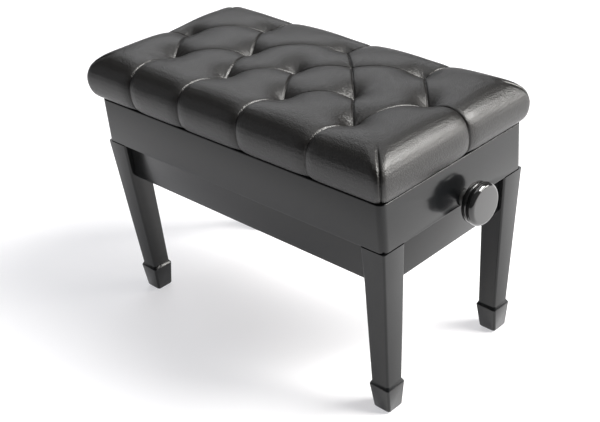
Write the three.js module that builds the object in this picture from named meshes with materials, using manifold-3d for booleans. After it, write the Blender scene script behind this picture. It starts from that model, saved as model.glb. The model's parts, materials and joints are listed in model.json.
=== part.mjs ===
// Height-adjustable piano bench, drawn with its seat at the lowest position.
// Millimetres, +Z up, +X along the bench to the right, the front faces -Y.
// The origin is on the floor under the centre of the bench.
//
// A rigid lower frame (legs, rails, brackets) stands on the floor. The seat (skirt, board,
// foam and cover) slides up and down outside its rails. Between them is a scissor lift: two
// pairs of crossed arms, opened by a nut bar on a threaded spindle with a knob at each end.

import * as THREE from 'three';
import { mergeVertices } from 'three/addons/utils/BufferGeometryUtils.js';
import Module from 'manifold-3d';

const wasm = await Module();
wasm.setup();

// ---------------------------------------------------------------- driving dimensions

const GAP = 0.3;                    // between pieces that rest against each other
const RUNNING = 0.3;                // radial, between a pin or shaft and its hole
const LINKAGE_PLAY = 0.8;           // radial, at the pivots that close the scissor loop
const SLOT_MARGIN = 1;              // length at each end of a slot, beyond its play
const TOOL_OVERRUN = 1;             // how far a cutting tool runs past the wall it cuts

const SKIRT = { length: 650, depth: 335, height: 81, thickness: 10, bottom: 311, cornerRadius: 12 };
const SLIDE_CLEARANCE = 1.5;        // between the skirt and the lower frame inside it

const LEG = { top: 47, ankle: 35, proud: 0.5, edgeRadius: 5 };
const FOOT = { bottom: 33, collar: 41, ankleHeight: 55, collarHeight: 49, edge: 2.2, edgeInset: 1.3 };
const FOOT_INSET = { x: 20, y: 13 }; // from the skirt's face to the foot's outer face at the floor
const GLIDE = { radius: 11, height: 3, edge: 0.8, stemRadius: 2.5, stemLength: 12 };

const RAIL = { bottom: 247, thickness: 18, topClearance: 6 };
const NOTCH_CLEARANCE = 4;          // around the spindle, in the end rails

const BRACKET = { thickness: 3, height: 60, flange: 28, cornerClearance: 3 };
const BOLT = { radius: 4, depthInLeg: 26, freeLength: 20 };
const NUT = { acrossFlats: 13, height: 6.5 };

const BOARD = { thickness: 12, inset: 6 };
const COVER = { thickness: 1.5, height: 82, overhang: 13, turnUnder: 24, cornerRadius: 18 };
// The cushion's side, from its base to its top: [share of its height, share of its overhang].
const COVER_SECTION = [
  [0, 0.15], [0.1, 0.75], [0.24, 1], [0.58, 1], [0.76, 0.6], [0.9, -0.4], [1, -2.2],
];
const FOAM_CLEARANCE = 0.4;

const MECHANISM_Y = 17;             // the spindle lies a little behind the bench's centre line
const SPINDLE = { radius: 6, heightInSkirt: 13, collarRadius: 10, collarLength: 6 };
const LIFT_TRAVEL = 70;
const ARM = { length: 420, width: 22, thickness: 4 };
const LOWER_PIVOT_RISE = 12;        // lower pivots above the lower channel's flange
const PIVOT = { radius: 5, headRadius: 8, headLength: 2.5 };
const CHANNEL = { thickness: 3, flange: 20, wall: 26, overrun: 27 };
const SIDE_CLEARANCE = 5;           // between the lower channel and the rail beside it
const LAYER_GAP = 2;                // between neighbouring arms and plates
const UPPER_STRIP = 20;             // height of an upper plate between its two lugs
const BATTEN = { width: 40, thickness: 18, rise: 3 };
const NUT_BAR = 20;
const BEARING = { thickness: 4, width: 34, foot: 25, drop: 14, outboard: 32 };
const BUSH = { outerRadius: 8.5, flangeRadius: 13, flangeThickness: 2 };
const KNOB = { radius: 34.5, thickness: 23, standoff: 19, bore: 14, edge: 2 };
const KNOB_BAND = { radius: 33, length: 9, grooveDepth: 1.5, grooveLength: 2 };
const KNOB_FACE = { radius: 28, shoulderFrom: 15 };

// ---------------------------------------------------------------- places that follow from them

const half = { x: SKIRT.length / 2, y: SKIRT.depth / 2 };
const skirtTop = SKIRT.bottom + SKIRT.height;
const frameFace = {                 // outer faces of the rails and of the legs' upper posts
  x: half.x - SKIRT.thickness - SLIDE_CLEARANCE,
  y: half.y - SKIRT.thickness - SLIDE_CLEARANCE,
};
const railInner = { x: frameFace.x - RAIL.thickness, y: frameFace.y - RAIL.thickness };
const legInner = { x: half.x + LEG.proud - LEG.top, y: half.y + LEG.proud - LEG.top };
const legTopCentre = { x: legInner.x + LEG.top / 2, y: legInner.y + LEG.top / 2 };
const footCentre = {
  x: half.x - FOOT_INSET.x - FOOT.bottom / 2,
  y: half.y - FOOT_INSET.y - FOOT.bottom / 2,
};
const footUnderside = GLIDE.height + GAP;
const frameTop = skirtTop - RAIL.topClearance;
const boltZ = (RAIL.bottom + frameTop) / 2;

const coverBottom = skirtTop + GAP;
const boardBottom = coverBottom + COVER.thickness + GAP;
const boardTop = boardBottom + BOARD.thickness;
const coverTop = coverBottom + COVER.height;

const spindleZ = SKIRT.bottom + SPINDLE.heightInSkirt;
const battenBottom = RAIL.bottom + BATTEN.rise;
const channelBottom = battenBottom + BATTEN.thickness + GAP;
const lowerPivotZ = channelBottom + CHANNEL.thickness + LOWER_PIVOT_RISE;
const scissorRest = spindleZ - lowerPivotZ;
const reachAt = (rise) => Math.sqrt(ARM.length ** 2 - rise ** 2);
const reachLow = reachAt(scissorRest);
const reachHigh = reachAt(scissorRest + LIFT_TRAVEL);
const nutTravel = reachLow - reachHigh;
const fixedPivotX = -ARM.length / 2;
const slidingPivotX = fixedPivotX + reachLow;
const restAngle = Math.asin(scissorRest / ARM.length);

// Layers of the mechanism on each side, as distances from the spindle, from the outside in.
const channelOuter = railInner.y - Math.abs(MECHANISM_Y) - SIDE_CLEARANCE - CHANNEL.flange;
const channelInner = channelOuter - CHANNEL.thickness;
const armAOuter = channelInner - LAYER_GAP;
const armAInner = armAOuter - ARM.thickness;
const armBOuter = armAInner - LAYER_GAP;
const armBInner = armBOuter - ARM.thickness;
const plateOuter = armBInner - LAYER_GAP;
const plateInner = plateOuter - CHANNEL.thickness;

// ---------------------------------------------------------------- materials

const finish = (color, roughness, metalness = 0) =>
  new THREE.MeshStandardMaterial({ color, roughness, metalness });
const lacquer = finish(0x16161a, 0.28);
const innerWood = finish(0x8a6a45, 0.7);
const leather = finish(0x141416, 0.5);
const foamFill = finish(0xd8cfa8, 0.9);
const blackSteel = finish(0x2a2a2c, 0.45, 0.8);
const zincSteel = finish(0xb8b8bc, 0.35, 1);
const glossKnob = finish(0x0a0a0b, 0.12);
const blackPlastic = finish(0x1c1c1c, 0.5);

// ---------------------------------------------------------------- making and joining solids

const ROUND = 16;                   // sides of a round piece
const CORNER_STEPS = 2;             // pairs of segments in a rounded corner
const ARC_STEPS = 4;                // pairs of segments in a half circle
const KNOB_SIDES = 32;

function toSolid(geometry) {
  const bare = geometry.clone();
  bare.deleteAttribute('normal');
  bare.deleteAttribute('uv');
  const merged = mergeVertices(bare, 1e-4);
  return new wasm.Manifold(new wasm.Mesh({
    numProp: 3,
    vertProperties: new Float32Array(merged.attributes.position.array),
    triVerts: new Uint32Array(merged.index.array),
  }));
}

function toGeometry(solid) {
  const mesh = solid.getMesh();
  const geometry = new THREE.BufferGeometry();
  geometry.setAttribute('position', new THREE.BufferAttribute(mesh.vertProperties, 3));
  geometry.setIndex(new THREE.BufferAttribute(mesh.triVerts, 1));
  return geometry;
}

const join = (...pieces) => toGeometry(pieces.map(toSolid).reduce((a, b) => a.add(b)));
const cut = (piece, ...tools) =>
  toGeometry(tools.map(toSolid).reduce((a, b) => a.subtract(b), toSolid(piece)));

function box([x0, x1], [y0, y1], [z0, z1]) {
  return new THREE.BoxGeometry(x1 - x0, y1 - y0, z1 - z0)
    .translate((x0 + x1) / 2, (y0 + y1) / 2, (z0 + z1) / 2);
}

// A profile of [radius, distance] pairs turned about the Z axis.
function turned(profile, sides = ROUND) {
  const points = profile.map(([radius, distance]) => new THREE.Vector2(radius, distance));
  return new THREE.LatheGeometry(points, sides).rotateX(Math.PI / 2);
}

const rod = (radius, from, to, sides = ROUND) =>
  turned([[0, from], [radius, from], [radius, to], [0, to]], sides);
const alongX = (geometry) => geometry.rotateY(Math.PI / 2);
const alongY = (geometry) => geometry.rotateX(-Math.PI / 2);

// An outline in the X-Z plane, given thickness along Y.
function plateXZ(outline, y0, y1) {
  return new THREE.ExtrudeGeometry(new THREE.Shape(outline), { depth: y1 - y0, bevelEnabled: false })
    .rotateX(Math.PI / 2).translate(0, y1, 0);
}

function roundedRectangle(halfX, halfY, radius) {
  const shape = new THREE.Shape();
  const corners = [[1, -1, -90], [1, 1, 0], [-1, 1, 90], [-1, -1, 180]];
  corners.forEach(([sx, sy, start]) => {
    const from = THREE.MathUtils.degToRad(start);
    shape.absarc(sx * (halfX - radius), sy * (halfY - radius), radius, from, from + Math.PI / 2);
  });
  shape.closePath();
  return shape;
}

// A stack of rounded rectangles, each {z, x, y, halfX, halfY}, joined by straight walls.
function stacked(levels, radius) {
  const unit = Math.max(...levels.map((level) => Math.max(level.halfX, level.halfY)));
  const geometry = new THREE.ExtrudeGeometry(roundedRectangle(unit, unit, radius), {
    depth: levels.length - 1, steps: levels.length - 1, bevelEnabled: false,
    curveSegments: CORNER_STEPS,
  });
  const position = geometry.attributes.position;
  const squeeze = (value, halfSize) => value - Math.sign(value) * (unit - halfSize);
  for (let i = 0; i < position.count; i += 1) {
    const { z, x = 0, y = 0, halfX, halfY } = levels[Math.round(position.getZ(i))];
    position.setXYZ(i, x + squeeze(position.getX(i), halfX), y + squeeze(position.getY(i), halfY), z);
  }
  return geometry;
}

// A copy reflected to another quarter of the bench, with its faces still pointing out.
function reflected(geometry, signX, signY) {
  const copy = mergeVertices(geometry.clone()).scale(signX, signY, 1);
  if (signX * signY < 0) {
    const index = copy.index.array;
    for (let i = 0; i < index.length; i += 3) {
      [index[i], index[i + 1]] = [index[i + 1], index[i]];
    }
  }
  return copy;
}

const bench = new THREE.Group();
const lowerFrame = new THREE.Group();
const seat = new THREE.Group();
const lift = new THREE.Group();
lift.position.y = MECHANISM_Y;
bench.add(lowerFrame, seat, lift);

function addPiece(group, name, geometry, material) {
  const mesh = new THREE.Mesh(geometry, material);
  mesh.name = name;
  group.add(mesh);
  return mesh;
}

const CORNERS = [
  ['front_left', -1, -1], ['front_right', 1, -1], ['rear_left', -1, 1], ['rear_right', 1, 1],
];
const SIDES = [['front', -1], ['rear', 1]];
const ENDS = [['left', -1], ['right', 1]];

function atEachCorner(name, geometry, material) {
  CORNERS.forEach(([place, sx, sy]) =>
    addPiece(lowerFrame, `${name}_${place}`, reflected(geometry, sx, sy), material));
}

// A copy of a piece on each side of the spindle.
function onEachSide(group, name, geometry, material) {
  SIDES.forEach(([place, sy]) =>
    addPiece(group, `${name}_${place}`, reflected(geometry, 1, sy), material));
}

// ---------------------------------------------------------------- lower frame

// Tool for a hole along the diagonal of the rear right corner, through the leg's inner edge.
function diagonalRod(radius, from, to, sides = ROUND) {
  return alongX(rod(radius, from, to, sides))
    .rotateZ(Math.PI / 4).translate(legInner.x, legInner.y, boltZ);
}

// Square leg with a spade foot. Its outer faces taper from the shoulder, its inner ones only from
// the rails' underside, and the post above the shoulder is rebated for the skirt.
function makeLeg() {
  const shoulder = SKIRT.bottom - GAP;
  const square = (z, size, centre) =>
    ({ z, x: centre.x, y: centre.y, halfX: size / 2, halfY: size / 2 });
  const outerAtRail = (axis) => {
    const top = half[axis] + LEG.proud;
    const ankle = footCentre[axis] + LEG.ankle / 2;
    return THREE.MathUtils.mapLinear(RAIL.bottom, shoulder, FOOT.ankleHeight, top, ankle);
  };
  const outer = { x: outerAtRail('x'), y: outerAtRail('y') };
  const blank = stacked([
    square(footUnderside, FOOT.bottom - 2 * FOOT.edgeInset, footCentre),
    square(footUnderside + FOOT.edge, FOOT.bottom, footCentre),
    square(FOOT.collarHeight, FOOT.collar, footCentre),
    square(FOOT.ankleHeight, LEG.ankle, footCentre),
    {
      z: RAIL.bottom,
      x: (outer.x + legInner.x) / 2,
      y: (outer.y + legInner.y) / 2,
      halfX: (outer.x - legInner.x) / 2,
      halfY: (outer.y - legInner.y) / 2,
    },
    square(shoulder, LEG.top, legTopCentre),
    square(frameTop, LEG.top, legTopCentre),
  ], LEG.edgeRadius);
  const beyond = [shoulder, frameTop + LEG.top];
  const wide = [legInner.x - LEG.top, half.x + LEG.top];
  const deep = [legInner.y - LEG.top, half.y + LEG.top];
  return cut(
    blank,
    box([frameFace.x, wide[1]], deep, beyond),
    box(wide, [frameFace.y, deep[1]], beyond),
    diagonalRod(BOLT.radius + RUNNING, -LEG.top, BOLT.depthInLeg + GAP),
    rod(GLIDE.stemRadius + RUNNING, 0, footUnderside + GLIDE.stemLength + GAP)
      .translate(footCentre.x, footCentre.y, 0),
  );
}

function makeGlide() {
  return turned([
    [0, 0], [GLIDE.radius - GLIDE.edge, 0], [GLIDE.radius, GLIDE.edge], [GLIDE.radius, GLIDE.height],
    [GLIDE.stemRadius, GLIDE.height], [GLIDE.stemRadius, footUnderside + GLIDE.stemLength],
    [0, footUnderside + GLIDE.stemLength],
  ]).translate(footCentre.x, footCentre.y, 0);
}

// Bent steel plate across the corner, flanged to the two rails, with a hole for the leg's bolt.
function makeCornerBracket() {
  const faceX = railInner.x - GAP;
  const faceY = railInner.y - GAP;
  const web = legInner.x + legInner.y - BRACKET.cornerClearance * Math.SQRT2;
  const innerWeb = web - BRACKET.thickness * Math.SQRT2;
  const insideX = faceX - BRACKET.thickness;
  const insideY = faceY - BRACKET.thickness;
  const endX = web - faceY - BRACKET.flange;
  const endY = web - faceX - BRACKET.flange;
  const outline = [
    [endX, faceY], [endX, insideY], [innerWeb - insideY, insideY], [insideX, innerWeb - insideX],
    [insideX, endY], [faceX, endY], [faceX, web - faceX], [web - faceY, faceY],
  ].map(([x, y]) => new THREE.Vector2(x, y));
  const plate = new THREE.ExtrudeGeometry(new THREE.Shape(outline), {
    depth: BRACKET.height, bevelEnabled: false,
  }).translate(0, 0, boltZ - BRACKET.height / 2);
  return cut(plate, diagonalRod(BOLT.radius + RUNNING, -LEG.top, LEG.top));
}

const webInside = BRACKET.cornerClearance + BRACKET.thickness;

function makeLegBolt() {
  return diagonalRod(BOLT.radius, -webInside - BOLT.freeLength, BOLT.depthInLeg);
}

function makeLegNut() {
  const from = -webInside - GAP - NUT.height;
  const hexRadius = NUT.acrossFlats / Math.sqrt(3);
  return cut(
    diagonalRod(hexRadius, from, -webInside - GAP, 6),
    diagonalRod(BOLT.radius + RUNNING, from - GAP, 0),
  );
}

// Rails butt against the legs' inner sides; the end rails are notched for the spindle to rise.
function makeLongRail() {
  const reach = legInner.x - GAP;
  return box([-reach, reach], [railInner.y, frameFace.y], [RAIL.bottom, frameTop]);
}

function makeEndRail() {
  const reach = legInner.y - GAP;
  const halfNotch = SPINDLE.radius + NOTCH_CLEARANCE;
  const across = [railInner.x - GAP, frameFace.x + GAP];
  return cut(
    box([railInner.x, frameFace.x], [-reach, reach], [RAIL.bottom, frameTop]),
    alongX(rod(halfNotch, ...across)).translate(0, MECHANISM_Y, spindleZ),
    box(across, [MECHANISM_Y - halfNotch, MECHANISM_Y + halfNotch], [spindleZ, frameTop + halfNotch]),
  );
}

atEachCorner('leg', makeLeg(), lacquer);
atEachCorner('foot_glide', makeGlide(), blackPlastic);
atEachCorner('corner_bracket', makeCornerBracket(), zincSteel);
atEachCorner('leg_bolt', makeLegBolt(), zincSteel);
atEachCorner('leg_nut', makeLegNut(), zincSteel);

SIDES.forEach(([place, sy]) =>
  addPiece(lowerFrame, `rail_${place}`, reflected(makeLongRail(), 1, sy), lacquer));
ENDS.forEach(([place, sx]) =>
  addPiece(lowerFrame, `rail_${place}`, reflected(makeEndRail(), sx, 1), lacquer));

// Battens between the long rails carry the lower channels near their two ends.
const battenReach = railInner.y - GAP;
const battenX = { left: fixedPivotX, right: slidingPivotX - nutTravel / 2 };
ENDS.forEach(([place]) => {
  const across = [battenX[place] - BATTEN.width / 2, battenX[place] + BATTEN.width / 2];
  const along = [-battenReach, battenReach];
  const batten = box(across, along, [battenBottom, battenBottom + BATTEN.thickness]);
  addPiece(lowerFrame, `batten_${place}`, batten, innerWood);
});

// ---------------------------------------------------------------- scissor lift

// A straight slot along X, as the tool that cuts it, across the wall from y0 to y1.
function slotTool(radius, x0, x1, z, y0, y1) {
  const outline = new THREE.Path();
  outline.absarc(x1, z, radius, -Math.PI / 2, Math.PI / 2);
  outline.absarc(x0, z, radius, Math.PI / 2, Math.PI * 1.5);
  return plateXZ(outline.getPoints(ARC_STEPS), y0, y1);
}

const pinHole = (radius, x, z, y0, y1) => alongY(rod(radius, y0, y1)).translate(x, 0, z);
const slotPlay = LINKAGE_PLAY + SLOT_MARGIN;

// Lower channel: an angle, its flange on the battens, its wall with one pivot hole and one slot.
function makeLowerChannel() {
  const ends = [fixedPivotX - CHANNEL.overrun, slidingPivotX + CHANNEL.overrun];
  const base = channelBottom;
  const through = [channelInner - TOOL_OVERRUN, channelOuter + TOOL_OVERRUN];
  return cut(
    join(
      box(ends, [channelInner, channelOuter], [base, base + CHANNEL.wall]),
      box(ends, [channelInner, channelOuter + CHANNEL.flange], [base, base + CHANNEL.thickness]),
    ),
    pinHole(PIVOT.radius + RUNNING, fixedPivotX, lowerPivotZ, ...through),
    slotTool(PIVOT.radius + LINKAGE_PLAY, slidingPivotX - nutTravel - slotPlay,
      slidingPivotX + slotPlay, lowerPivotZ, ...through),
  );
}

// Upper plate: a strip under the seat board with a lug at each end, reaching the spindle's height.
function makeUpperPlate() {
  const top = boardBottom - COVER.thickness - GAP;
  const lugBottom = spindleZ - ARM.width / 2;
  const lugX = ARM.width;
  const left = [fixedPivotX - lugX, fixedPivotX + lugX];
  const right = [slidingPivotX - nutTravel - lugX, slidingPivotX + lugX];
  const wall = [plateInner, plateOuter];
  const through = [plateInner - TOOL_OVERRUN, plateOuter + TOOL_OVERRUN];
  return cut(
    join(
      box([left[0], right[1]], wall, [top - UPPER_STRIP, top]),
      box([left[0], right[1]], [plateInner - CHANNEL.flange, plateOuter],
        [top - CHANNEL.thickness, top]),
      box(left, wall, [lugBottom, top]),
      box(right, wall, [lugBottom, top]),
    ),
    pinHole(PIVOT.radius + RUNNING, fixedPivotX, spindleZ, ...through),
    slotTool(PIVOT.radius + RUNNING, slidingPivotX - nutTravel - slotPlay,
      slidingPivotX + slotPlay, spindleZ, ...through),
  );
}

// Flat arm with round ends, drawn from its fixed pivot along +X, then turned to the rest angle.
function makeArm(y0, y1, { centreRadius, farRadius, farPlay, angle, z }) {
  const outline = new THREE.Path();
  outline.absarc(ARM.length, 0, ARM.width / 2, -Math.PI / 2, Math.PI / 2);
  outline.absarc(0, 0, ARM.width / 2, Math.PI / 2, Math.PI * 1.5);
  const through = [y0 - TOOL_OVERRUN, y1 + TOOL_OVERRUN];
  const farHole = slotTool(farRadius, ARM.length - farPlay, ARM.length + farPlay, 0, ...through);
  return cut(
    plateXZ(outline.getPoints(ARC_STEPS), y0, y1),
    pinHole(PIVOT.radius + RUNNING, 0, 0, ...through),
    pinHole(centreRadius, ARM.length / 2, 0, ...through),
    farHole,
  ).rotateY(-angle).translate(fixedPivotX, 0, z);
}

// Headed pin between the two distances y0 and y1 from the spindle, with a head outside each.
function makeRivet(y0, y1) {
  const inner = y0 - GAP;
  const outer = y1 + GAP;
  return alongY(turned([
    [0, inner - PIVOT.headLength], [PIVOT.headRadius, inner - PIVOT.headLength],
    [PIVOT.headRadius, inner], [PIVOT.radius, inner], [PIVOT.radius, outer],
    [PIVOT.headRadius, outer], [PIVOT.headRadius, outer + PIVOT.headLength],
    [0, outer + PIVOT.headLength],
  ]));
}

// Rod from one side of the lift to the other, with a head beyond each end.
const makeTieRod = (reach) => makeRivet(-reach, reach);

// Square bar across the spindle, with a pin at each end that carries the sliding arms.
function makeNutBar() {
  const barReach = plateInner - LAYER_GAP;
  const side = [-NUT_BAR / 2, NUT_BAR / 2];
  return cut(
    join(box(side, [-barReach, barReach], side), makeTieRod(armAOuter)),
    alongX(rod(SPINDLE.radius + RUNNING, -NUT_BAR, NUT_BAR)),
  ).translate(slidingPivotX, 0, spindleZ);
}

onEachSide(lift, 'lower_channel', makeLowerChannel(), blackSteel);
onEachSide(lift, 'upper_plate', makeUpperPlate(), blackSteel);
onEachSide(lift, 'arm_a', makeArm(armAInner, armAOuter, {
  centreRadius: PIVOT.radius + LINKAGE_PLAY, farRadius: PIVOT.radius + LINKAGE_PLAY,
  farPlay: slotPlay, angle: restAngle, z: lowerPivotZ,
}), blackSteel);
onEachSide(lift, 'arm_b', makeArm(armBInner, armBOuter, {
  centreRadius: PIVOT.radius + RUNNING, farRadius: PIVOT.radius + RUNNING,
  farPlay: 0, angle: -restAngle, z: spindleZ,
}), blackSteel);
onEachSide(lift, 'lower_pivot',
  makeRivet(armAInner, channelOuter).translate(fixedPivotX, 0, lowerPivotZ), zincSteel);
onEachSide(lift, 'upper_pivot',
  makeRivet(plateInner, armBOuter).translate(fixedPivotX, 0, spindleZ), zincSteel);

const centreX = fixedPivotX + reachLow / 2;
const centreZ = (lowerPivotZ + spindleZ) / 2;
addPiece(lift, 'centre_rod', makeTieRod(armAOuter).translate(centreX, 0, centreZ), zincSteel);
addPiece(lift, 'slider_rod',
  makeTieRod(channelOuter).translate(slidingPivotX, 0, lowerPivotZ), zincSteel);
addPiece(lift, 'nut_bar', makeNutBar(), zincSteel);

// Hanging bracket with a foot under the seat board and a hole around the spindle.
function makeBearing() {
  const top = boardBottom - COVER.thickness - GAP;
  const face = ARM.length / 2 + BEARING.outboard;
  const wide = [-BEARING.width / 2, BEARING.width / 2];
  return cut(
    join(
      box([face, face + BEARING.thickness], wide, [spindleZ - BEARING.drop, top]),
      box([face, face + BEARING.foot], wide, [top - BEARING.thickness, top]),
    ),
    alongX(rod(SPINDLE.radius + RUNNING, face - TOOL_OVERRUN,
      face + BEARING.thickness + TOOL_OVERRUN)).translate(0, 0, spindleZ),
  );
}

const knobBack = half.x + KNOB.standoff;

// Threaded spindle with a thrust collar on each side of the left bearing.
function makeSpindle() {
  const reach = knobBack + KNOB.bore - GAP;
  const plate = -(ARM.length / 2 + BEARING.outboard);
  const far = plate - BEARING.thickness - GAP;
  const near = plate + GAP;
  return alongX(turned([
    [0, -reach], [SPINDLE.radius, -reach],
    [SPINDLE.radius, far - SPINDLE.collarLength], [SPINDLE.collarRadius, far - SPINDLE.collarLength],
    [SPINDLE.collarRadius, far], [SPINDLE.radius, far],
    [SPINDLE.radius, near], [SPINDLE.collarRadius, near],
    [SPINDLE.collarRadius, near + SPINDLE.collarLength], [SPINDLE.radius, near + SPINDLE.collarLength],
    [SPINDLE.radius, reach], [0, reach],
  ])).translate(0, 0, spindleZ);
}

// Knob with a plain band at the back, a shallow groove, a rounded shoulder and a flat face.
function makeKnob() {
  const boreRadius = SPINDLE.radius + RUNNING;
  const { radius: bandRadius, length: bandLength, grooveDepth, grooveLength } = KNOB_BAND;
  const grooveEnd = bandLength + grooveLength;
  const shoulderSteps = 4;
  const profile = [
    [0, KNOB.bore], [boreRadius, KNOB.bore], [boreRadius, 0], [bandRadius - KNOB.edge, 0],
    [bandRadius, KNOB.edge], [bandRadius, bandLength], [bandRadius - grooveDepth, grooveEnd],
    [KNOB.radius, grooveEnd + grooveDepth],
  ];
  for (let i = 0; i <= shoulderSteps; i += 1) {
    const turn = (i / shoulderSteps) * (Math.PI / 2);
    profile.push([
      KNOB_FACE.radius + (KNOB.radius - KNOB_FACE.radius) * Math.cos(turn),
      KNOB_FACE.shoulderFrom + (KNOB.thickness - KNOB_FACE.shoulderFrom) * Math.sin(turn),
    ]);
  }
  profile.push([0, KNOB.thickness]);
  return alongX(turned(profile, KNOB_SIDES)).translate(knobBack, 0, spindleZ);
}

function makeBush() {
  const boreRadius = SPINDLE.radius + RUNNING;
  const inside = half.x - SKIRT.thickness;
  const flangeFrom = half.x + GAP;
  return alongX(turned([
    [boreRadius, inside], [BUSH.outerRadius, inside], [BUSH.outerRadius, flangeFrom],
    [BUSH.flangeRadius, flangeFrom], [BUSH.flangeRadius, flangeFrom + BUSH.flangeThickness],
    [boreRadius, flangeFrom + BUSH.flangeThickness], [boreRadius, inside],
  ])).translate(0, 0, spindleZ);
}

ENDS.forEach(([place, sx]) => {
  addPiece(lift, `spindle_bearing_${place}`, reflected(makeBearing(), sx, 1), blackSteel);
  addPiece(lift, `shaft_bush_${place}`, reflected(makeBush(), sx, 1), blackPlastic);
  addPiece(lift, `knob_${place}`, reflected(makeKnob(), sx, 1), glossKnob);
});
addPiece(lift, 'spindle', makeSpindle(), blackSteel);

// ---------------------------------------------------------------- seat

// Plan of a mitred skirt board on the +Y side of a frame, with half of each rounded corner.
function skirtPlan(halfLength, halfDepth) {
  const radius = SKIRT.cornerRadius;
  const mitre = GAP / Math.SQRT2;
  const cornerX = halfLength - radius - mitre;
  const cornerY = halfDepth - radius;
  const shape = new THREE.Shape();
  shape.absarc(cornerX, cornerY, radius, Math.PI / 4, Math.PI / 2);
  shape.absarc(-cornerX, cornerY, radius, Math.PI / 2, Math.PI * 0.75);
  shape.lineTo(-(halfLength - SKIRT.thickness - mitre), halfDepth - SKIRT.thickness);
  shape.lineTo(halfLength - SKIRT.thickness - mitre, halfDepth - SKIRT.thickness);
  shape.closePath();
  return shape;
}

function makeSkirtBoard(halfLength, halfDepth) {
  return new THREE.ExtrudeGeometry(skirtPlan(halfLength, halfDepth), {
    depth: SKIRT.height, bevelEnabled: false, curveSegments: CORNER_STEPS,
  }).translate(0, 0, SKIRT.bottom);
}

const longBoard = makeSkirtBoard(half.x, half.y);
const endBoard = cut(
  makeSkirtBoard(half.y, half.x).rotateZ(-Math.PI / 2),
  alongX(rod(BUSH.outerRadius + RUNNING, half.x - 2 * SKIRT.thickness, half.x + SKIRT.thickness))
    .translate(0, MECHANISM_Y, spindleZ),
);
SIDES.forEach(([place, sy]) =>
  addPiece(seat, `skirt_${place}`, reflected(longBoard, 1, sy), lacquer));
ENDS.forEach(([place, sx]) =>
  addPiece(seat, `skirt_${place}`, reflected(endBoard, sx, 1), lacquer));

const boardSize = { halfX: half.x - BOARD.inset, halfY: half.y - BOARD.inset };
const seatBoard = stacked(
  [{ z: boardBottom, ...boardSize }, { z: boardTop, ...boardSize }], COVER.cornerRadius - BOARD.inset);
addPiece(seat, 'seat_board', seatBoard, innerWood);

// Outline of the cushion, shrunk by inset: it rolls out over the skirt, then rounds over at the top.
function cushion(inset, bottom, top) {
  const height = top - bottom;
  return stacked(COVER_SECTION.map(([level, share]) => ({
    z: bottom + level * height,
    halfX: half.x + share * COVER.overhang - inset,
    halfY: half.y + share * COVER.overhang - inset,
  })), COVER.cornerRadius - inset);
}

function makeCover() {
  const inner = cushion(COVER.thickness, coverBottom + COVER.thickness, coverTop - COVER.thickness);
  const mouth = { x: half.x - COVER.turnUnder, y: half.y - COVER.turnUnder };
  return cut(
    cushion(0, coverBottom, coverTop),
    inner,
    box([-mouth.x, mouth.x], [-mouth.y, mouth.y],
      [coverBottom - TOOL_OVERRUN, coverBottom + COVER.height / 2]),
  );
}

const foamInset = COVER.thickness + FOAM_CLEARANCE;
const foam = cut(
  cushion(foamInset, coverBottom + foamInset, coverTop - foamInset),
  box([-half.x - COVER.overhang, half.x + COVER.overhang],
    [-half.y - COVER.overhang, half.y + COVER.overhang],
    [coverBottom - TOOL_OVERRUN, boardTop + FOAM_CLEARANCE]),
);
addPiece(seat, 'foam_pad', foam, foamFill);
addPiece(seat, 'cushion_cover', makeCover(), leather);

export default bench;
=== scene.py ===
"""The looks of a height-adjustable piano bench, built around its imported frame.

Metres, +Z up, +X along the bench, the front faces -Y. The rigid frame comes from the pack.
This script adds the tufted cushion, the lacquered woodwork with its eased edges, the turned
knobs, the finishes, the studio and the camera.
"""

import json
import math

import bmesh
import bpy
import numpy as np
from mathutils import Matrix, Vector


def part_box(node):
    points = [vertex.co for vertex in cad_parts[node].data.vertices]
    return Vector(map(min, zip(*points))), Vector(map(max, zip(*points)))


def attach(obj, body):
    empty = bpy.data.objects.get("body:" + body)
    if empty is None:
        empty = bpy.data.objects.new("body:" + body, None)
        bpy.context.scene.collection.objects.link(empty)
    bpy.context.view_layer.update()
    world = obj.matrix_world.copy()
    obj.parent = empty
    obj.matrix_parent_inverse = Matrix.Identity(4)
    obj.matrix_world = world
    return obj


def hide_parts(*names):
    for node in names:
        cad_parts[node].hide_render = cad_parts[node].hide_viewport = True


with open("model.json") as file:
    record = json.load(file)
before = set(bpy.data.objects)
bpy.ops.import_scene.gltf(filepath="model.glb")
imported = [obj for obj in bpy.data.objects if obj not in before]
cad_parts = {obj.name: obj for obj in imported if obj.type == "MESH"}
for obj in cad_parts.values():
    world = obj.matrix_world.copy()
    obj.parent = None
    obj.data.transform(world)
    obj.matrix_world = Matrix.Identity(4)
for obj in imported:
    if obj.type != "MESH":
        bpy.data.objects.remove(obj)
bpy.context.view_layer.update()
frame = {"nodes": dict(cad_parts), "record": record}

MM = 0.001

# ---------------------------------------------------------------- sizes taken from the frame

skirt_low, skirt_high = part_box("skirt_front")
HALF_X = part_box("skirt_right")[1].x
HALF_Y = -skirt_low.y
SKIRT_BOTTOM, SKIRT_TOP = skirt_low.z, skirt_high.z
SKIRT_THICKNESS = skirt_high.y - skirt_low.y
cover_low, cover_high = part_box("cushion_cover")
board_low, board_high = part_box("seat_board")

# ---------------------------------------------------------------- camera and studio

CAMERA_PLACE = Vector((1.260, -1.175, 1.177))
CAMERA_TARGET = Vector((0.005, 0.004, 0.160))
CAMERA_ROLL = math.radians(-5.3)
LENS = 68.3
LENS_SHIFT = (-0.025, 0.03)


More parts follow.
